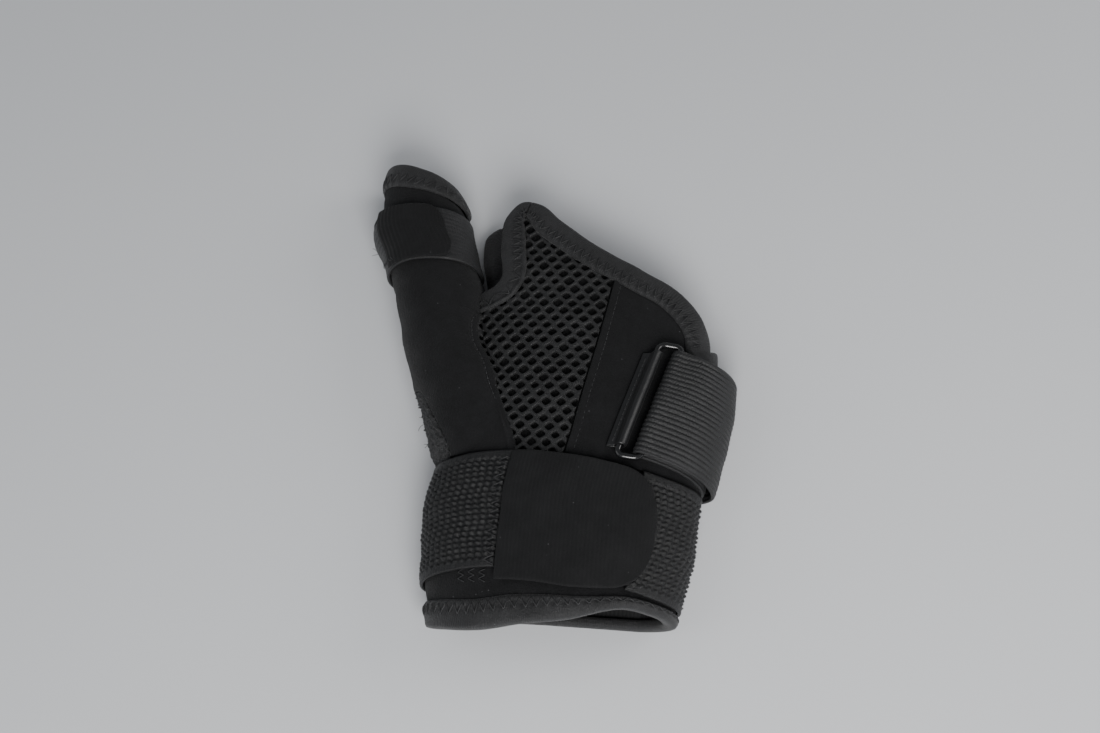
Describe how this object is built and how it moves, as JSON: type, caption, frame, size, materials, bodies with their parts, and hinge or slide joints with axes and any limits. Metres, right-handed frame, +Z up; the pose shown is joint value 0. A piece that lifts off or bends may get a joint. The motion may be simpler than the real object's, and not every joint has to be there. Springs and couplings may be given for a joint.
{
  "type": "thumb spica splint",
  "caption": "Soft thumb spica splint: hollow hand tube with a thumb tube, mesh window, hook-and-loop thumb and wrist straps, and an elastic hand strap folded back through a wire ring.",
  "frame": {"origin": "middle of the splint's bounding box, on the table it lies on", "axes": "+X from the thumb's side to the little finger's side, +Y from the wrist to the fingertips, +Z up from the table"},
  "size_m": [0.1688, 0.2098, 0.044],
  "materials": {
    "lining": "ribbed knit lining, dull",
    "loop_fabric": "velvety brushed loop, very dull",
    "mesh_fabric": "spacer mesh, dull",
    "binding_tape": "stretch binding with a slight sheen",
    "woven_elastic": "looped woven elastic",
    "hook_fabric": "smooth back of hook tape",
    "ribbed_elastic": "ribbed woven elastic",
    "ring_wire": "glossy black coating"
  },
  "bodies": {
    "root": {"inner_shell": "lining", "thumb_panel": "loop_fabric", "side_mesh": "mesh_fabric", "wrist_panel": "loop_fabric", "palm_panel": "loop_fabric", "mesh_panel": "mesh_fabric", "knuckle_binding": "binding_tape", "web_binding": "binding_tape", "back_web_binding": "binding_tape", "wrist_binding": "binding_tape", "thumb_tip_binding": "binding_tape", "wrist_strap": "woven_elastic", "wrist_strap_tab": "hook_fabric", "thumb_strap": "woven_elastic", "thumb_strap_tab": "hook_fabric", "strap_ring": "ring_wire", "ring_tab": "loop_fabric", "hand_strap": "ribbed_elastic"}
  },
  "joints": []
}
